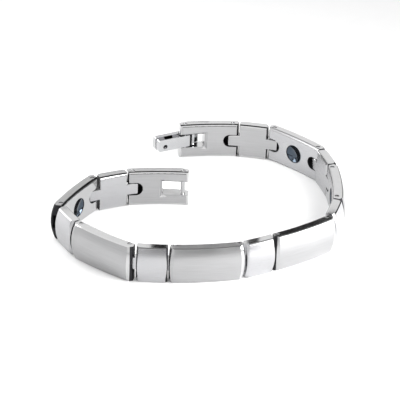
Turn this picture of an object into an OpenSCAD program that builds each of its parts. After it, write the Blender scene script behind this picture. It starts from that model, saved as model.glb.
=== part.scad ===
// Titanium link bracelet with magnets, standing open on its edge

/* [Band] */
// Width of the band, which is its height as it stands on its edge
band_w = 8; // [7.6:0.1:9]
// Thickness of a link at its sides
side_t = 2.1; // [2:0.05:2.5]
// How far the domed outer face stands above the sides at mid width
crown = 0.8; // [0.5:0.05:1]
// Radius of the inner face along the band
curve_r = 60; // [50:1:90]
// Rounding of the long edges of the inner face
edge_r = 0.5; // [0.3:0.05:0.6]
// Rounding of the inner face's edges at the ends of the links
end_r = 0.3; // [0.2:0.05:0.4]
// Bevel between the sides and the domed face
rim_b = 0.15; // [0.1:0.05:0.25]
// Gap between one link and the next in a straight band
link_gap = 0.2; // [0.15:0.05:0.35]

/* [Links] */
// Length of a long link, measured along its inner face
long_l = 14.9; // [14:0.1:17]
// How much of that length each slanted end takes off the inner face
long_slant = 0.5; // [0.45:0.05:0.7]
// Length of the inner face of a small link
small_l = 6.1; // [5:0.1:8]
// Length of the inner face of the two end links
end_l = 13; // [12:0.1:15]
// How much of that length the slant of the joint end takes off the inner face
end_slant = 0.4; // [0.2:0.05:0.6]
// Width of the polished bevel across the outer face at a long link's ends
long_bevel = 0.95; // [0.5:0.05:1.2]
// Width of the bevel across the outer face at the other joint ends
small_bevel = 0.35; // [0.2:0.05:0.6]
// Slope of these bevels in degrees
bevel_a = 20; // [12:1:30]
// Depth of the chamfer that breaks the sharp edge where such a bevel meets the link's end
lip_c = 0.15; // [0.05:0.05:0.2]

/* [Joints] */
// Diameter of the link pins and of the lever's pin
pin_d = 0.9; // [0.8:0.05:1]
// Clearance round a pin, on the radius
pin_fit = 0.04; // [0.02:0.01:0.08]
// Distance from a link's end to the pin in it
pin_inset = 1.35; // [1.3:0.05:1.5]
// Depth of the pins below the inner face
pin_depth = 0.85; // [0.8:0.05:0.9]
// How far the ends of a pin lie below the sides of the band
pin_sink = 0.1; // [0.05:0.05:0.3]
// Height of a small link's tongues across the band
tongue_w = 2.6; // [2.2:0.1:2.8]
// Thickness of a tongue
tongue_t = 1.7; // [1.6:0.05:1.8]
// How far a tongue reaches past its pin
tongue_reach = 1.2; // [1:0.05:1.2]
// Radius of a tongue's end, seen from the inside of the loop
tongue_r = 1.5; // [1.4:0.1:2]
// Height of the notches that take the tongues
notch_w = 3; // [2.8:0.1:3.4]
// Length of a notch from the end of its link
notch_l = 3.4; // [3.2:0.1:3.6]
// Depth of a notch below the inner face
notch_t = 2.15; // [2.15:0.05:2.3]

/* [Magnets] */
// Diameter of a magnet
magnet_d = 4.1; // [3.5:0.1:5]
// Thickness of a magnet
magnet_t = 1.2; // [0.8:0.1:1.4]
// How far a magnet lies below the inner face
magnet_sink = 0.06; // [0.04:0.01:0.2]

/* [Clasp] */
// Height of the slot in the two end links
slot_w = 3.2; // [3:0.1:3.6]
// Length of the slot from the free end
slot_l = 5.6; // [5.4:0.1:6]
// Radius in the corners of the slot
slot_r = 0.25; // [0.15:0.05:0.5]
// Width of the bevel round the slot on the inner face
rim_w = 0.2; // [0.15:0.05:0.5]
// Depth of that bevel
rim_t = 0.2; // [0.15:0.05:0.4]
// Diameter of the bar across the catch link's slot
bar_d = 0.95; // [0.8:0.05:1]
// Distance from a free end to the bar or the lever's pin
bar_inset = 1.25; // [1.1:0.05:1.5]
// Rounding of the inner face at the free ends
free_edge = 0.6; // [0.3:0.05:0.8]
// Length of the long taper of the outer face towards a free end
taper_w = 3; // [2:0.1:4]
// Slope of the taper in degrees
taper_a = 9; // [5:1:12]
// Length of the rounded-down nose at a free end
nose_w = 0.7; // [0.4:0.05:1]
// Slope of the nose in degrees
nose_a = 38; // [30:1:45]

/* [Lever] */
// Length of the lever from its pin to its tip
lever_l = 6.8; // [6.5:0.05:7.4]
// Length of the lever's tail behind its pin
tail_l = 3.6; // [2.4:0.1:3.7]
// Height of the lever across the band
lever_w = 2.9; // [2.6:0.05:3]
// Recess of the lever's two faces below those of the links
lever_sink = 0.1; // [0.05:0.05:0.2]
// Thickness of the outer plate at its crest
plate_t = 1.2; // [0.9:0.05:1.3]
// Length of the folded channel from the pin towards the tip
channel_l = 6.65; // [6.3:0.05:6.8]
// Length of the channel behind the pin
channel_tail = 0.9; // [0.7:0.05:1.1]
// Wall of the channel along the inner face
web_t = 0.25; // [0.2:0.05:0.3]
// Wall of the channel at its two sides
cheek_t = 0.45; // [0.35:0.05:0.5]
// Step from the plate's edge in to the channel
cheek_step = 0.1; // [0.05:0.05:0.15]
// Radius of the tip's corners
tip_r = 0.4; // [0.2:0.05:0.6]
// Diameter of the round hole in the channel's inner face
hole_d = 1; // [0.8:0.05:1.2]
// Distance of that hole from the pin
hole_x = 5.05; // [4.6:0.05:5.3]
// Distance of that hole below mid width
hole_low = 0.3; // [0:0.05:0.7]
// Thickness of the rib across the tail
rib_t = 0.6; // [0.5:0.05:0.8]
// Distance of the rib from the pin
rib_x = 1.9; // [1.7:0.05:2.4]
// Angle that the lever is opened from its closed place in the slots
lever_open = 15; // [0:1:85]

/* [Hidden] */
$fn = 64;
past = 1;
full_t = side_t + crown;
mid_z = band_w / 2;
crown_r = (pow(band_w / 2, 2) + pow(crown, 2)) / (2 * crown);
pin_l = band_w - 2 * pin_sink;
lever_in = pin_depth - lever_sink;
lever_out = pin_depth - full_t + lever_sink;
plate_in = lever_out + plate_t;
// Windows in the lever's two sides, as x from the pin and y to the inside of the loop
cheek_window = [[2.75, plate_in], [4.8, plate_in], [5.05, lever_in - web_t], [3.2, lever_in - web_t]];

// The chain from the catch to the clasp: kind of link, and its heading in degrees
chain = [
    ["end", 184.5],
    ["small", 204],
    ["long", 242.5],
    ["small", 301],
    ["long", 324],
    ["small", 359],
    ["long", 369],
    ["small", 388],
    ["long", 396],
    ["small", 435],
    ["long", 452.5],
    ["small", 467.5],
    ["long", 498.5],
    ["small", 531],
    ["end", 546.5]
];
last = len(chain) - 1;
long_places = [for (i = [0:last]) if (chain[i][0] == "long") i];
small_places = [for (i = [0:last]) if (chain[i][0] == "small") i];

function length_of(i) = chain[i][0] == "end" ? end_l : chain[i][0] == "long" ? long_l : small_l;
function turned(a, p) = [cos(a) * p.x - sin(a) * p.y, sin(a) * p.x + cos(a) * p.y];
// Height of the hollow inner face over its middle, at a distance along the link
function face_y(x) = curve_r - sqrt(pow(curve_r, 2) - pow(x, 2));
// A link's end as an angle of its arc
function end_a(l) = asin(l / 2 / curve_r);
// Distance of a small link's two pins, which are in its tongues, from its middle
tongue_x = small_l / 2 + link_gap + pin_inset;
function small_pin(side) = [side * tongue_x, face_y(tongue_x) - pin_depth];
// The pins of the other links, set in from their ends
function long_pin(l, side) =
    let (p = [l / 2, face_y(l / 2)] + turned(end_a(l), [-pin_inset, -pin_depth])) [side * p.x, p.y];
function pin_at(i, side) = chain[i][0] == "small" ? small_pin(side) : long_pin(length_of(i), side);
function end_pin(i, side) = turned(chain[i][1], pin_at(i, side));
// Middle of a link's inner face, counted from the first link's
function chained(i) = i == 0 ? [0, 0] : chained(i - 1) + end_pin(i - 1, 1) - end_pin(i, -1);
// Points along the crest of a link's outer face, between the bevels of its ends
function crest(i) = [
    for (t = [-0.9:0.1:0.9])
        chained(i) + turned(chain[i][1], [0, curve_r])
            + turned(chain[i][1] + t * end_a(length_of(i)), [0, -curve_r - full_t])
];
crests = [for (i = [0:last]) each crest(i)];
xs = [for (p = crests) p.x];
ys = [for (p = crests) p.y];
loop_mid = [max(xs) + min(xs), max(ys) + min(ys)] / 2;

// Puts a link, drawn about the middle of its inner face, in its place in the chain
module in_chain(i) {
    translate([each chained(i) - loop_mid, 0]) rotate(chain[i][1]) children();
}

// The frame at the end of a link: x points out of the link, y to the inside of the loop
module at_end(l, side) {
    mirror([side < 0 ? 1 : 0, 0, 0]) translate([l / 2, face_y(l / 2), 0]) rotate(end_a(l)) children();
}

// Sweeps an outline, drawn from the inner face outwards, along a link's arc
module along_link(l) {
    translate([0, curve_r, 0]) rotate(-90 - end_a(l)) rotate_extrude(angle = 2 * end_a(l), $fn = 256)
        translate([curve_r, 0]) children();
}

// What rounding takes off the corner between the -x axis and a second face, a degrees on from it:
// the arc leaves each face at c from the corner
module corner_loss(c, a = 90) {
    deep = 1.7;
    middle = -deep * c * [cos(a / 2), sin(a / 2)];
    out = [sin(a), -cos(a)];
    difference() {
        polygon([middle, middle + [0, c + past], past * (out + [0, 1]), middle + (c + past) * out]);
        translate(middle) circle(norm([c, 0] + middle));
    }
}

// Outline across a link: flat sides, rounded inner edges and a domed outer face
module link_outline() {
    difference() {
        intersection() {
            square([full_t, band_w]);
            translate([full_t - crown_r, mid_z]) circle(crown_r, $fn = 256);
        }
        for (side = [0, 1])
            translate([0, side * band_w]) mirror([0, 1 - side]) {
                mirror([1, 0]) corner_loss(edge_r);
                translate([side_t - rim_b, 0]) rotate(-34) square([past, past]);
            }
    }
}

// Bevel across the domed face, which keeps the dome's own curve
module bevel_loss(w, a) {
    difference() {
        translate([-w - rim_b, -full_t - past, -past]) cube([w + past, full_t, band_w + 2 * past]);
        translate([-w, -full_t, mid_z]) rotate(a) translate([0, crown_r, 0]) rotate([0, 90, 0])
            cylinder(r = crown_r, h = 6 * w + 4 * past, center = true, $fn = 256);
    }
}

// The bevel of a joint end and the chamfer on its edge
module end_bevels(w) {
    bevel_loss(w, bevel_a);
    bevel_loss(w * tan(bevel_a) + lip_c, 45);
}

// Slant of a link's end, which shortens its inner face, and the rounded edge there
module end_loss(c, slant = 0) {
    a = 90 + atan(slant / side_t);
    wide = slant * (1 + past / side_t);
    translate([0, 0, -past]) linear_extrude(band_w + 2 * past) {
        if (slant > 0) polygon([[0, -side_t], [past, -side_t], [past, past], [-wide, past]]);
        translate([-slant, 0]) corner_loss(c, a);
    }
}

module bore(d, inset) {
    translate([-inset, -pin_depth, -past]) cylinder(d = d + 2 * pin_fit, h = band_w + 2 * past);
}

// Blind notch for a tongue, open to the inner face and to the link's end, and its pin's bore
module joint_loss(bevel, slant) {
    translate([0, past, mid_z]) rotate([90, 0, 0]) linear_extrude(notch_t + past) {
        translate([notch_w / 2 - notch_l, -notch_w / 2]) square([notch_l - notch_w / 2 + past, notch_w]);
        translate([notch_w / 2 - notch_l, 0]) circle(notch_w / 2);
    }
    bore(pin_d, pin_inset);
    end_loss(end_r, slant);
    end_bevels(bevel);
}

module long_link(n) {
    color("lightgray") in_chain(long_places[n - 1]) difference() {
        along_link(long_l) link_outline();
        for (side = [-1, 1]) at_end(long_l, side) joint_loss(long_bevel, long_slant);
        translate([0, past, mid_z]) rotate([90, 0, 0])
            cylinder(d = magnet_d + 2 * pin_fit, h = magnet_t + 2 * magnet_sink + past);
    }
}

module magnet(n) {
    chamfer = 0.12;
    color("slategray") in_chain(long_places[n - 1])
        translate([0, -magnet_sink, mid_z]) rotate([90, 0, 0]) rotate_extrude()
            polygon([[0, 0], [magnet_d / 2 - chamfer, 0], [magnet_d / 2, chamfer],
                [magnet_d / 2, magnet_t], [0, magnet_t]]);
}

// The two tongues of a small link are one bar along its inner face, rounded past the pins
module tongues() {
    soft = 0.15;
    low = mid_z - tongue_w / 2;
    high = mid_z + tongue_w / 2;
    round_x = tongue_x + tongue_reach - tongue_r;
    intersection() {
        along_link(2 * (tongue_x + tongue_reach)) polygon([
            [soft, low], [tongue_t, low], [tongue_t, high], [soft, high], [0, high - soft], [0, low + soft]
        ]);
        linear_extrude(band_w) {
            for (side = [-1, 1]) translate(small_pin(side)) circle(tongue_reach);
            translate([-tongue_x, -tongue_t - past]) square([2 * tongue_x, tongue_t + 2 * past]);
        }
        translate([0, past, mid_z]) rotate([90, 0, 0]) linear_extrude(tongue_t + 2 * past) {
            for (side = [-1, 1]) translate([side * round_x, 0]) circle(tongue_r);
            translate([-round_x, -tongue_r]) square([2 * round_x, 2 * tongue_r]);
        }
    }
}

module small_link(n) {
    color("gainsboro") in_chain(small_places[n - 1]) difference() {
        union() {
            difference() {
                along_link(small_l) link_outline();
                for (side = [-1, 1]) at_end(small_l, side) {
                    end_loss(end_r);
                    end_bevels(small_bevel);
                }
            }
            tongues();
        }
        for (side = [-1, 1]) translate([each small_pin(side), -past])
            cylinder(d = pin_d + 2 * pin_fit, h = band_w + 2 * past);
    }
}

module link_pin(n) {
    color("darkgray") in_chain(n - 1) translate([each pin_at(n - 1, 1), pin_sink])
        cylinder(d = pin_d, h = pin_l);
}

// The slot that is open to the free end of an end link, and the bevel round it on the inner face
module slot_loss() {
    wide = rim_w * (1 + past / rim_t);
    high = slot_w / 2 + wide;
    translate([0, past, mid_z]) rotate([90, 0, 0]) linear_extrude(full_t + 2 * past) difference() {
        translate([-slot_l, -slot_w / 2]) square([slot_l + past, slot_w]);
        for (side = [-1, 1]) translate([-slot_l, side * slot_w / 2]) rotate(side > 0 ? 90 : 180)
            corner_loss(slot_r);
    }
    intersection() {
        translate([-slot_l - wide, 0, mid_z]) rotate([90, 0, 90]) linear_extrude(slot_l + wide + past)
            polygon([[-rim_t, -slot_w / 2], [past, -high], [past, high], [-rim_t, slot_w / 2]]);
        translate([0, 0, mid_z - high]) linear_extrude(2 * high)
            polygon([[-slot_l, -rim_t], [past, -rim_t], [past, past], [-slot_l - wide, past]]);
    }
}

// An end link: its joint end, and its free end with the slot and the bore of a cross pin
module end_link(free_side, cross_d) {
    difference() {
        along_link(end_l) link_outline();
        at_end(end_l, -free_side) joint_loss(small_bevel, end_slant);
        at_end(end_l, free_side) {
            slot_loss();
            bore(cross_d, bar_inset);
            end_loss(free_edge);
            bevel_loss(taper_w, taper_a);
            bevel_loss(nose_w, nose_a);
        }
    }
}

module catch_link() {
    color("silver") in_chain(0) end_link(-1, bar_d);
}

module clasp_link() {
    color("silver") in_chain(last) end_link(1, pin_d);
}

// A pin across the slot of an end link
module cross_pin(i, free_side, d) {
    in_chain(i) at_end(end_l, free_side) translate([-bar_inset, -pin_depth, pin_sink])
        cylinder(d = d, h = pin_l);
}

module catch_bar() {
    color("lightgray") cross_pin(0, -1, bar_d);
}

module lever_pin() {
    color("darkgray") cross_pin(last, 1, pin_d);
}

// A slab of the lever between two depths, with rounded corners at its tip
module lever_slab(tail, tip, width, y0, y1) {
    translate([0, y1, mid_z]) rotate([90, 0, 0]) linear_extrude(y1 - y0) difference() {
        translate([-tail, -width / 2]) square([tail + tip, width]);
        for (side = [-1, 1]) translate([tip, side * width / 2]) rotate(side > 0 ? 0 : -90)
            corner_loss(tip_r);
    }
}

// Domed outer plate of the lever
module lever_plate() {
    intersection() {
        lever_slab(tail_l, lever_l, lever_w, lever_out, plate_in);
        translate([0, lever_out + crown_r, mid_z]) rotate([0, 90, 0])
            cylinder(r = crown_r, h = 4 * lever_l, center = true, $fn = 256);
    }
}

// Folded channel on the plate: closed at the tip, open behind, with windows in its sides and a hole
module lever_channel() {
    width = lever_w - 2 * cheek_step;
    inside_w = width - 2 * cheek_t;
    overlap = 0.3;
    difference() {
        lever_slab(channel_tail, channel_l, width, plate_in - overlap, lever_in);
        translate([-channel_tail - past, plate_in, mid_z - inside_w / 2])
            cube([channel_tail + past + channel_l - cheek_t, lever_in - web_t - plate_in, inside_w]);
        linear_extrude(band_w) polygon(cheek_window);
        translate([hole_x, lever_in + past, mid_z - hole_low]) rotate([90, 0, 0])
            cylinder(d = hole_d, h = web_t + 2 * past);
    }
}

// Rib across the tail, with a bevelled crest
module tail_rib() {
    width = lever_w - 2 * cheek_step;
    overlap = 0.3;
    top = lever_in - web_t;
    crest_b = 0.15;
    translate([-rib_x, 0, mid_z - width / 2]) linear_extrude(width)
        polygon([
            [-rib_t / 2, plate_in - overlap], [rib_t / 2, plate_in - overlap], [rib_t / 2, top - crest_b],
            [rib_t / 2 - crest_b, top], [crest_b - rib_t / 2, top], [-rib_t / 2, top - crest_b]
        ]);
}

// The lever is drawn about its pin: x to its tip, y to the inside of the loop
module clasp_lever() {
    color("gainsboro") in_chain(last) at_end(end_l, 1)
        translate([-bar_inset, -pin_depth, 0]) rotate(lever_open) difference() {
            union() {
                lever_plate();
                lever_channel();
                tail_rib();
            }
            cylinder(d = pin_d + 2 * pin_fit, h = band_w);
        }
}

for (n = [1:len(long_places)]) long_link(n);
for (n = [1:len(small_places)]) small_link(n);
catch_link();
clasp_link();
for (n = [1:last]) link_pin(n);
for (n = [1:len(long_places)]) magnet(n);
catch_bar();
lever_pin();
clasp_lever();
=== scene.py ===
"""The looks of a titanium link bracelet with magnets, which stands open on its edge."""

import math

import bpy
from mathutils import Matrix, Vector


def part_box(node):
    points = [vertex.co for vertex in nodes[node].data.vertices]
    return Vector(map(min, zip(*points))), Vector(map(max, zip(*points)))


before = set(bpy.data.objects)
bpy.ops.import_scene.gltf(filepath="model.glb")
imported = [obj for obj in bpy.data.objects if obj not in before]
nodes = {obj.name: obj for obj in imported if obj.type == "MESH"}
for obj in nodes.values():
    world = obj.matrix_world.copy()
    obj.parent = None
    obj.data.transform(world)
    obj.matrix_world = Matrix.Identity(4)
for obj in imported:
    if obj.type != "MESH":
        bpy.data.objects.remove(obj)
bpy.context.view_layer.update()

# Long links.
# Six bars of titanium, milled from flat stock and arched a little to the wrist. The domed outer
# face is brushed along the band, the inner face is finer, and the sides and the bevels at the ends
# are polished. A few ends are rubbed to a satin; the other ends, the notches and the bores are
# drawn dark as painted shade.

MM = 0.001
CHAIN = ["catch_link", "small_link_1", "long_link_1", "small_link_2", "long_link_2",
         "small_link_3", "long_link_3", "small_link_4", "long_link_4", "small_link_5",
         "long_link_5", "small_link_6", "long_link_6", "small_link_7", "clasp_link"]
PINS = ["catch_bar"] + [f"link_pin_{n}" for n in range(1, 15)] + ["lever_pin"]


def srgb(code):
    """A hex colour as the linear numbers that a shader takes."""
    parts = [int(code[k:k + 2], 16) / 255 for k in (1, 3, 5)]
    return [c / 12.92 if c <= 0.04045 else ((c + 0.055) / 1.055) ** 2.4 for c in parts] + [1.0]


def add(tree, kind, settings=None, links=None):
    """Adds a node, with its settings by name and what goes into its sockets."""
    node = tree.nodes.new(kind)
    for name, value in (settings or {}).items():
        setattr(node, name, value)
    for socket, source in (links or {}).items():
        if isinstance(source, bpy.types.NodeSocket):
            tree.links.new(source, node.inputs[socket])
        else:
            node.inputs[socket].default_value = source
    return node


def new_material(name):
    """An empty material, and its node tree."""
    material = bpy.data.materials.new(name)
    material.use_nodes = True
    material.node_tree.nodes.clear()
    return material, material.node_tree


def pin_place(name):
    low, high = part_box(name)
    return (low + high) / 2


def band_coordinates(tree):
    """Coordinates on a link in millimetres: x along the band, y to the wrist, z across. Each
    link carries the place and the heading of its own pins as plain properties."""
    place = add(tree, "ShaderNodeTexCoord").outputs["Object"]
    middle = add(tree, "ShaderNodeAttribute", {"attribute_type": "OBJECT", "attribute_name": "middle"})
    heading = add(tree, "ShaderNodeAttribute", {"attribute_type": "OBJECT", "attribute_name": "heading"})
    back = add(tree, "ShaderNodeMath", {"operation": "MULTIPLY"}, {0: heading.outputs["Fac"], 1: -1.0})
    moved = add(tree, "ShaderNodeVectorMath", {"operation": "SUBTRACT"},
                {0: place, 1: middle.outputs["Vector"]})
    turned = add(tree, "ShaderNodeVectorRotate", {"rotation_type": "Z_AXIS"},
                 {"Vector": moved.outputs[0], "Angle": back.outputs[0]})
    return add(tree, "ShaderNodeVectorMath", {"operation": "SCALE"},
               {0: turned.outputs[0], "Scale": 1 / MM}).outputs[0]


for i, name in enumerate(CHAIN):
    first, second = pin_place(PINS[i]), pin_place(PINS[i + 1])
    along = second - first
    nodes[name]["middle"] = list((first + second) / 2)
    nodes[name]["heading"] = math.atan2(along.y, along.x)


def in_link(link, point, is_direction=False):
    """A point or direction in a link's own frame."""
    p = Vector(point) if is_direction else Vector(point) - Vector(link["middle"])
    return Matrix.Rotation(-link["heading"], 3, "Z") @ p


def give_finishes(link, finishes, choose):
    """Puts the finishes on a link's faces: choose gives a number in the list from a face's
    middle, in millimetres, and its normal, both in the link's frame."""
    link.data.materials.clear()
    for material in finishes:
        link.data.materials.append(material)
    for face in link.data.polygons:
        middle = in_link(link, face.center) / MM
        face.material_index = choose(middle, in_link(link, face.normal, True))


# Titanium, brushed with a belt along the band: a soft grey face with fine streaks, about 0.05 mm
# apart on the real one and drawn at 0.12 mm, and a cloud of some 4 mm where the belt pressed more.
brushed, tree = new_material("brushed_titanium")
where = band_coordinates(tree)
streaks = add(tree, "ShaderNodeMapping", links={"Vector": where, "Scale": (0.16, 1.0, 8.0)})
grain = add(tree, "ShaderNodeTexNoise",
            links={"Vector": streaks.outputs[0], "Scale": 1.0, "Detail": 4.0})
cloud = add(tree, "ShaderNodeTexNoise", links={"Vector": where, "Scale": 0.25, "Detail": 2.0})
tone = add(tree, "ShaderNodeMix", {"data_type": "RGBA"},
           {"Factor": grain.outputs["Fac"], "A": srgb("#a0a0a1"), "B": srgb("#b6b6b7")})
rough = add(tree, "ShaderNodeMapRange", links={
    "Value": cloud.outputs["Fac"], "From Min": 0.3, "From Max": 0.7, "To Min": 0.28, "To Max": 0.36})
lines = add(tree, "ShaderNodeBump", links={
    "Height": grain.outputs["Fac"], "Strength": 0.12, "Distance": 0.02 * MM})
shader = add(tree, "ShaderNodeBsdfPrincipled", links={
    "Base Color": tone.outputs[2], "Metallic": 1.0, "Roughness": rough.outputs[0],
    "Normal": lines.outputs[0]})
add(tree, "ShaderNodeOutputMaterial", links={"Surface": shader.outputs[0]})

# The same titanium rubbed to a satin: even and a little lighter, with hardly any streaks, drawn
# 0.1 mm apart.
satin, tree = new_material("satin_titanium")
where = band_coordinates(tree)
streaks = add(tree, "ShaderNodeMapping", links={"Vector": where, "Scale": (0.2, 1.0, 10.0)})
grain = add(tree, "ShaderNodeTexNoise",
            links={"Vector": streaks.outputs[0], "Scale": 1.0, "Detail": 3.0})
tone = add(tree, "ShaderNodeMix", {"data_type": "RGBA"},
           {"Factor": grain.outputs["Fac"], "A": srgb("#b0b0b2"), "B": srgb("#bcbcbe")})
rough = add(tree, "ShaderNodeMapRange", links={
    "Value": grain.outputs["Fac"], "From Min": 0.3, "From Max": 0.7, "To Min": 0.22, "To Max": 0.28})
shader = add(tree, "ShaderNodeBsdfPrincipled", links={
    "Base Color": tone.outputs[2], "Metallic": 1.0, "Roughness": rough.outputs[0]})
add(tree, "ShaderNodeOutputMaterial", links={"Surface": shader.outputs[0]})

# The same titanium polished on a wheel: a clear mirror, with faint wiping marks about 1 mm wide.
polished, tree = new_material("polished_titanium")
where = band_coordinates(tree)
wiping = add(tree, "ShaderNodeTexNoise", links={"Vector": where, "Scale": 0.8, "Detail": 3.0})
tone = add(tree, "ShaderNodeMix", {"data_type": "RGBA"},
           {"Factor": wiping.outputs["Fac"], "A": srgb("#bdbdbe"), "B": srgb("#c6c6c6")})
rough = add(tree, "ShaderNodeMapRange", links={
    "Value": wiping.outputs["Fac"], "From Min": 0.3, "From Max": 0.7, "To Min": 0.04, "To Max": 0.07})
shader = add(tree, "ShaderNodeBsdfPrincipled", links={
    "Base Color": tone.outputs[2], "Metallic": 1.0, "Roughness": rough.outputs[0]})
add(tree, "ShaderNodeOutputMaterial", links={"Surface": shader.outputs[0]})

# Titanium as the cutter leaves it, in the notches and bores and on most of the links' ends: dull,
# with the cutter's lines 0.2 mm apart, and its grey drawn dark as painted shade for the gaps.
cut_with_painted_shade, tree = new_material("cut_titanium_painted_shade")
where = band_coordinates(tree)
passes = add(tree, "ShaderNodeTexWave", {"bands_direction": "Z"},
             {"Vector": where, "Scale": 1.6, "Distortion": 2.0, "Detail": 2.0})
# The dark grey is painted shade, for the shadow in the gaps, notches and bores.
tone = add(tree, "ShaderNodeMix", {"data_type": "RGBA"},
           {"Factor": passes.outputs["Fac"], "A": srgb("#303032"), "B": srgb("#3c3c3e")})
lines = add(tree, "ShaderNodeBump", links={
    "Height": passes.outputs["Fac"], "Strength": 0.2, "Distance": 0.02 * MM})
shader = add(tree, "ShaderNodeBsdfPrincipled", links={
    "Base Color": tone.outputs[2], "Metallic": 1.0, "Roughness": 0.6, "Normal": lines.outputs[0]})
add(tree, "ShaderNodeOutputMaterial", links={"Surface": shader.outputs[0]})
FINISHES = [brushed, satin, polished, cut_with_painted_shade]
# The last finish, the cutter's one, is drawn dark as painted shade.
BRUSHED, SATIN, POLISHED, CUT_WITH_PAINTED_SHADE = range(4)

# Where the parts of a link lie, in millimetres from its middle: its sides with their edges, from
# mid width out; its inner face; the sides of a notch; and the ends of a long link. The limits on a
# normal, which is 1 long, are only near enough to tell a flat from the bevels beside it.
SIDES_FROM = 3.4
INNER_FACE_FROM = 0.3
NOTCH_SIDES_FROM = 1.6
LONG_ENDS_FROM = 6.5


def outside_finish(p, n, face, inner_face, edge=POLISHED, rim=POLISHED):
    """The finish that all links share outside their joints, or None elsewhere: sides and the bevel
    at the clasp's end polished. The inner face's long edges and the outer face's rim may have
    another finish. p is a face's middle and n its normal."""
    if n.y < -0.5 and abs(n.x) < 0.55 and abs(n.z) < 0.55:
        return POLISHED if n.x > 0.2 else face
    if abs(p.z) > SIDES_FROM and abs(n.z) > 0.05 and abs(n.x) < 0.5:
        return edge if n.y > 0.1 else rim if n.y < -0.2 else POLISHED
    if n.y > 0.95 and p.y > INNER_FACE_FROM:
        return inner_face
    return None


def is_satin_end(p, n, x, ends):
    """Whether a face at a link's end, or on the chamfer there, is one of those rubbed to a satin."""
    return any(side * p.x > x and side * n.x > 0.5 for side in ends)


def long_link_finish(satin_ends, inner_face, edge):
    def choose(p, n):
        shared = outside_finish(p, n, BRUSHED, inner_face, edge)
        if shared is not None:
            return shared
        if n.y > 0.6 and p.y > INNER_FACE_FROM and abs(p.z) > NOTCH_SIDES_FROM:
            return SATIN
        return SATIN if is_satin_end(p, n, LONG_ENDS_FROM, satin_ends) else CUT_WITH_PAINTED_SHADE
    return choose


for n, satin_ends in enumerate([(), (-1,), (-1, 1), (1,), (), ()], start=1):
    inner_face = POLISHED if n == 1 else SATIN
    edge = BRUSHED if n == 6 else POLISHED
    give_finishes(nodes[f"long_link_{n}"], FINISHES, long_link_finish(satin_ends, inner_face, edge))

# Small links.
# Seven short bars between the long ones, of the same titanium, each with a tongue at both ends that
# lies in the notch of its neighbour. They are rubbed to a satin by hand, so two are left brushed on
# the inside and one at its rim. The tongues are polished, and most ends are left as the cutter
# leaves them, drawn dark as painted shade.

SMALL_ENDS_FROM = 2.6
TONGUE_HALF_WIDTH = 1.35
TONGUE_FROM = 3.3


def small_link_finish(satin_ends, inner_face, rim):
    def choose(p, n):
        shared = outside_finish(p, n, SATIN, inner_face, rim=rim)
        if shared is not None:
            return shared
        is_tongue = abs(p.z) < TONGUE_HALF_WIDTH and abs(p.x) > TONGUE_FROM and abs(n.x) < 0.6
        is_edge = n.y > 0.15 and p.y > 0.1
        if is_tongue or is_edge:
            return POLISHED
        return SATIN if is_satin_end(p, n, SMALL_ENDS_FROM, satin_ends) else CUT_WITH_PAINTED_SHADE
    return choose


for n, satin_ends in enumerate([(), (1,), (-1,), (-1,), (-1,), (), ()], start=1):
    inner_face = BRUSHED if n in (5, 7) else SATIN
    rim = BRUSHED if n == 2 else POLISHED
    give_finishes(nodes[f"small_link_{n}"], FINISHES, small_link_finish(satin_ends, inner_face, rim))

# End links.
# The two bars at the clasp, made as the long ones, but brushed on both faces, with a slot that is
# open to their free end. The slots' walls and the free ends are polished, and so is the catch
# link's end at its joint. The notches, and the clasp link's end at its joint, are drawn dark as
# painted shade.

NOTCH_FROM = 3.0
NOTCH_HALF_HEIGHT = 1.55
JOINT_END_FROM = 5.8
RIM_HALF_HEIGHT = 1.85


def end_link_finish(joint_side, joint_end):
    """joint_side is 1 or -1, the end with the notch, and joint_end is the finish there. The bevel
    round the slot is brushed with the inner face."""
    def choose(p, n):
        shared = outside_finish(p, n, BRUSHED, BRUSHED)
        if shared is not None:
            return shared
        x = joint_side * p.x
        if x > NOTCH_FROM and abs(p.z) < NOTCH_HALF_HEIGHT:
            return CUT_WITH_PAINTED_SHADE
        if x > JOINT_END_FROM and joint_side * n.x > 0.6:
            return joint_end
        is_rim = p.y > INNER_FACE_FROM and abs(p.z) < RIM_HALF_HEIGHT and 0.4 < n.y < 0.9
        return BRUSHED if is_rim else POLISHED
    return choose


give_finishes(nodes["catch_link"], FINISHES, end_link_finish(1, POLISHED))
give_finishes(nodes["clasp_link"], FINISHES, end_link_finish(-1, CUT_WITH_PAINTED_SHADE))

# Pins and catch bar.
# Pins of the same titanium, turned on a lathe, that hold the links together, with their ends just
# below the sides. The bar across the catch link's slot, which the lever hooks on, and the lever's
# own pin are the same.

# Turned titanium: bright and even, a little lighter and darker every 0.5 mm.
turned, tree = new_material("turned_titanium")
place = add(tree, "ShaderNodeTexCoord").outputs["Object"]
marks = add(tree, "ShaderNodeTexNoise", links={"Vector": place, "Scale": 2 / MM, "Detail": 2.0})
tone = add(tree, "ShaderNodeMix", {"data_type": "RGBA"},
           {"Factor": marks.outputs["Fac"], "A": srgb("#aaaaab"), "B": srgb("#bcbcbd")})
shader = add(tree, "ShaderNodeBsdfPrincipled", links={
    "Base Color": tone.outputs[2], "Metallic": 1.0, "Roughness": 0.18})
add(tree, "ShaderNodeOutputMaterial", links={"Surface": shader.outputs[0]})
for name in PINS:
    nodes[name].data.materials.clear()
    nodes[name].data.materials.append(turned)

# Magnets.
# Discs of a rare-earth alloy, pressed, polished and plated, and glued in round recesses in the long
# links' inner faces.

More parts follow.
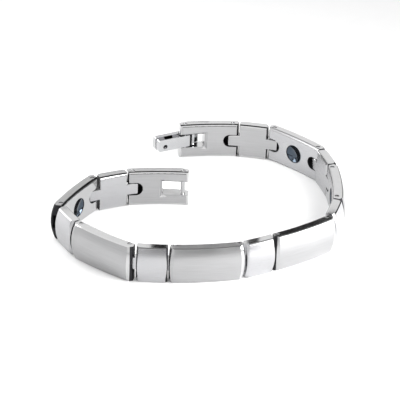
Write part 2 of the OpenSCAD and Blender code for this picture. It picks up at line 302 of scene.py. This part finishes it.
# Black nickel plating: a dark mirror, bluish and slightly clouded every millimetre or so. A disc
# is a little dished, drawn deeper than it is, which bends what it mirrors.
plated, tree = new_material("black_nickel_plating")
where = band_coordinates(tree)
haze = add(tree, "ShaderNodeTexNoise", links={"Vector": where, "Scale": 0.9, "Detail": 2.0})
tone = add(tree, "ShaderNodeMix", {"data_type": "RGBA"},
           {"Factor": haze.outputs["Fac"], "A": srgb("#434b55"), "B": srgb("#545d67")})
from_middle = add(tree, "ShaderNodeVectorMath", {"operation": "DOT_PRODUCT"}, {0: where, 1: where})
dish = add(tree, "ShaderNodeBump", links={
    "Height": from_middle.outputs["Value"], "Strength": 1.0, "Distance": 0.24 * MM})
shader = add(tree, "ShaderNodeBsdfPrincipled", links={
    "Base Color": tone.outputs[2], "Metallic": 1.0, "Roughness": 0.06, "Normal": dish.outputs[0]})
add(tree, "ShaderNodeOutputMaterial", links={"Surface": shader.outputs[0]})
for n in range(1, 7):
    magnet = nodes[f"magnet_{n}"]
    magnet["middle"] = list(pin_place(f"magnet_{n}"))
    magnet["heading"] = nodes[f"long_link_{n}"]["heading"]
    magnet.data.materials.clear()
    magnet.data.materials.append(plated)

# Clasp lever.
# A lever of the same titanium that snaps over the catch bar: a domed plate with a folded channel on
# it, and tabs round its pin. It is polished, with its hollows drawn nearly black and its channel's
# cheeks a darker grey as painted shade.

LEVER_HEADING = math.radians(207.7)
lever = nodes["clasp_lever"]
lever["middle"] = list(pin_place("lever_pin"))
lever["heading"] = LEVER_HEADING

# Places drawn nearly black as painted shade, as boxes in millimetres from the pin: x to the tip, y to
# the wrist, and z from mid width out to either side.
SHADED_HOLLOWS = {
    "channel": ((-0.8, -0.8, 0), (6.3, 0.49, 0.89)),
    "windows": ((2.7, -0.8, 0), (5.06, 0.49, 1.34)),
    "behind_the_pin": ((-1.59, -0.8, 0), (-0.91, 0.49, 2)),
    "behind_the_rib": ((-3.4, -0.8, 0.35), (-2.2, -0.7, 2)),
}
# The channel's cheeks, drawn a darker grey as painted shade, as a box of the same kind.
SHADED_CHEEKS = (-2, -0.8, 1.32), (8, 0.49, 2)


def in_box(tree, point, low, high):
    """1 where a point lies in a box, or else 0."""
    low, high = Vector(low), Vector(high)
    off = add(tree, "ShaderNodeVectorMath", {"operation": "SUBTRACT"}, {0: point, 1: (low + high) / 2})
    far = add(tree, "ShaderNodeVectorMath", {"operation": "ABSOLUTE"}, {0: off.outputs[0]})
    share = add(tree, "ShaderNodeVectorMath", {"operation": "DIVIDE"},
                {0: far.outputs[0], 1: (high - low) / 2})
    axes = add(tree, "ShaderNodeSeparateXYZ", links={0: share.outputs[0]})
    wider = add(tree, "ShaderNodeMath", {"operation": "MAXIMUM"},
                {0: axes.outputs[0], 1: axes.outputs[1]})
    widest = add(tree, "ShaderNodeMath", {"operation": "MAXIMUM"},
                 {0: wider.outputs[0], 1: axes.outputs[2]})
    inside = add(tree, "ShaderNodeMath", {"operation": "LESS_THAN"}, {0: widest.outputs[0], 1: 1.0})
    return inside.outputs[0]


# Titanium, pressed and then polished: bright, with wiping marks about 1 mm wide, but a darker grey
# on the channel's cheeks and nearly black in the hollows, both painted shade.
pressed, tree = new_material("pressed_titanium_painted_shade")
where = band_coordinates(tree)
axes = add(tree, "ShaderNodeSeparateXYZ", links={0: where})
side = add(tree, "ShaderNodeMath", {"operation": "ABSOLUTE"}, {0: axes.outputs[2]})
point = add(tree, "ShaderNodeCombineXYZ",
            links={0: axes.outputs[0], 1: axes.outputs[1], 2: side.outputs[0]}).outputs[0]
# Mask of the hollows, where the tone is painted shade.
hollow_shade_mask = 0.0
for low, high in SHADED_HOLLOWS.values():
    hollow_shade_mask = add(tree, "ShaderNodeMath", {"operation": "MAXIMUM"},
                     {0: hollow_shade_mask, 1: in_box(tree, point, low, high)}).outputs[0]
wiping = add(tree, "ShaderNodeTexNoise", links={"Vector": where, "Scale": 0.7, "Detail": 3.0})
bright = add(tree, "ShaderNodeMix", {"data_type": "RGBA"},
             {"Factor": wiping.outputs["Fac"], "A": srgb("#b0b1b2"), "B": srgb("#bcbcbe")})
# The cheeks' darker grey is painted shade.
outside = add(tree, "ShaderNodeMix", {"data_type": "RGBA"},
              {"Factor": in_box(tree, point, *SHADED_CHEEKS), "A": bright.outputs[2], "B": srgb("#77777a")})
tone = add(tree, "ShaderNodeMix", {"data_type": "RGBA"},
           {"Factor": hollow_shade_mask, "A": outside.outputs[2], "B": srgb("#1c1c1d")})
shader = add(tree, "ShaderNodeBsdfPrincipled", links={
    "Base Color": tone.outputs[2], "Metallic": 1.0, "Roughness": 0.2})
add(tree, "ShaderNodeOutputMaterial", links={"Surface": shader.outputs[0]})
lever.data.materials.clear()
lever.data.materials.append(pressed)

# Floor and light.
# A sheet of matt white card, lit by soft lights: large ones in front, behind and to the left, and
# small near ones at both sides. Upright paper cards behind the band and to its right, and a black
# one that lies flat above it, show only as what the metal mirrors.

FLOOR_HALF = 1.5
ROOM_LIGHT = 0.35

# Matt white card: even, with fibres drawn 3 mm wide.
card, tree = new_material("matt_white_card")
place = add(tree, "ShaderNodeTexCoord").outputs["Object"]
fibre = add(tree, "ShaderNodeTexNoise", links={"Vector": place, "Scale": 0.3 / MM, "Detail": 3.0})
tone = add(tree, "ShaderNodeMix", {"data_type": "RGBA"},
           {"Factor": fibre.outputs["Fac"], "A": srgb("#f6f6f6"), "B": srgb("#f9f9f9")})
shader = add(tree, "ShaderNodeBsdfPrincipled", links={"Base Color": tone.outputs[2], "Roughness": 0.9})
add(tree, "ShaderNodeOutputMaterial", links={"Surface": shader.outputs[0]})
mesh = bpy.data.meshes.new("floor")
corners = [(x * FLOOR_HALF, y * FLOOR_HALF, 0) for x, y in ((-1, -1), (1, -1), (1, 1), (-1, 1))]
mesh.from_pydata(corners, [], [(0, 1, 2, 3)])
floor = bpy.data.objects.new("floor", mesh)
floor.data.materials.append(card)
bpy.context.scene.collection.objects.link(floor)

world = bpy.data.worlds.new("studio")
bpy.context.scene.world = world
world.use_nodes = True
background = world.node_tree.nodes["Background"]
background.inputs["Color"].default_value = (1, 1, 1, 1)
background.inputs["Strength"].default_value = ROOM_LIGHT
bpy.context.scene.view_settings.view_transform = "Standard"


def softbox(name, azimuth, elevation, distance, width, height, brightness):
    """A flat soft light that faces the bracelet, placed by its direction, in degrees, and its
    distance and size, in metres."""
    lamp = bpy.data.lights.new(name, "AREA")
    lamp.shape = "RECTANGLE"
    lamp.size, lamp.size_y = width, height
    lamp.energy = math.pi * width * height * brightness
    lamp_object = bpy.data.objects.new(name, lamp)
    turn = Matrix.Rotation(math.radians(azimuth), 4, "Z")
    tilt = Matrix.Rotation(-math.radians(elevation), 4, "Y")
    upright = Matrix.Rotation(math.pi / 2, 4, "Y") @ Matrix.Rotation(math.pi / 2, 4, "Z")
    lamp_object.matrix_world = turn @ tilt @ Matrix.Translation((distance, 0, 0)) @ upright
    lamp_object.visible_camera = False
    bpy.context.scene.collection.objects.link(lamp_object)


softbox("front_softbox", 272, 44, 0.80, 1.60, 0.64, 1.0)
softbox("front_card", 208, 14, 0.70, 2.00, 0.34, 0.74)
softbox("key_softbox", 330, 32, 0.10, 0.08, 0.06, 8.3)
softbox("right_softbox", 342, 6, 0.40, 0.24, 0.22, 8.0)
softbox("near_left_softbox", 150, 32, 0.10, 0.08, 0.06, 4.7)
softbox("left_softbox", 168, 50, 0.50, 0.40, 0.30, 1.0)
softbox("back_softbox", 95, 22, 0.60, 0.60, 0.40, 0.88)


def paper(name, dark, light):
    """Matt paper, black or grey, with its fibres drawn 2.5 mm wide."""
    material, tree = new_material(name)
    place = add(tree, "ShaderNodeTexCoord").outputs["Object"]
    fibre = add(tree, "ShaderNodeTexNoise",
                links={"Vector": place, "Scale": 0.4 / MM, "Detail": 2.0})
    tone = add(tree, "ShaderNodeMix", {"data_type": "RGBA"},
               {"Factor": fibre.outputs["Fac"], "A": srgb(dark), "B": srgb(light)})
    shader = add(tree, "ShaderNodeBsdfPrincipled",
                 links={"Base Color": tone.outputs[2], "Roughness": 1.0})
    add(tree, "ShaderNodeOutputMaterial", links={"Surface": shader.outputs[0]})
    return material


BLACK = paper("black_paper", "#0c0c0c", "#181818")
GREY = paper("grey_paper", "#8c8c8c", "#969696")
PALE = paper("pale_paper", "#bdbdbd", "#c7c7c7")


def flag(name, sheet, azimuth, distance, left, right, low, high):
    """An upright card that shows only where metal mirrors it. Its place is in millimetres, with
    left and right as seen from the middle of the bracelet."""
    turn = Matrix.Rotation(math.radians(azimuth), 3, "Z")
    sides = (left, low), (right, low), (right, high), (left, high)
    mesh = bpy.data.meshes.new(name)
    mesh.from_pydata([turn @ Vector((distance, -u, z)) * MM for u, z in sides], [], [(0, 1, 2, 3)])
    mesh.materials.append(sheet)
    flag_object = bpy.data.objects.new(name, mesh)
    flag_object.visible_camera = flag_object.visible_diffuse = flag_object.visible_shadow = False
    bpy.context.scene.collection.objects.link(flag_object)
    return flag_object


flag("dark_flag", BLACK, 90, 100, 20, 45, 72, 100)
flag("middle_flag", BLACK, 90, 100, 13, 16, 76, 100)
flag("small_flag", BLACK, 90, 100, -12.5, -8, 76, 100)
flag("grey_flag", GREY, 90, 100, -7, 12, 76, 100)
flag("low_flag", PALE, 90, 100, -42, -4.5, 48, 74)
flag("slot_flag", GREY, 90, 100, -5, 1.5, 43.5, 46.3)
flag("right_flag", BLACK, 45, 150, -75, 85, 34, 220)

# The card above the band is made upright, and then laid flat 150 mm up.
roof = flag("roof_flag", BLACK, 90, 0, -30, 40, 0, 145)
roof.matrix_world = Matrix.Translation((0, 0, 150 * MM)) @ Matrix.Rotation(-math.pi / 2, 4, "X")

# Camera.
# A long lens about half a metre off, in front of the band and above it, so that the far links look
# nearly as large as the near ones. It is rolled by two degrees.

LENS = 200.3
DISTANCE = 0.475
ELEVATION = math.radians(29.70)
ROLL = math.radians(2.08)
TARGET = Vector((0.00003, 0.00609, 0))
camera = bpy.data.objects.new("camera", bpy.data.cameras.new("camera"))
bpy.context.scene.collection.objects.link(camera)
camera.data.lens = LENS
camera.data.sensor_width = 36
camera.data.clip_start = 0.01
camera.data.clip_end = 10
away = Vector((0, -math.cos(ELEVATION), math.sin(ELEVATION)))
facing = Matrix.Rotation(math.pi / 2 - ELEVATION, 4, "X") @ Matrix.Rotation(ROLL, 4, "Z")
camera.matrix_world = Matrix.Translation(TARGET + away * DISTANCE) @ facing
bpy.context.scene.camera = camera
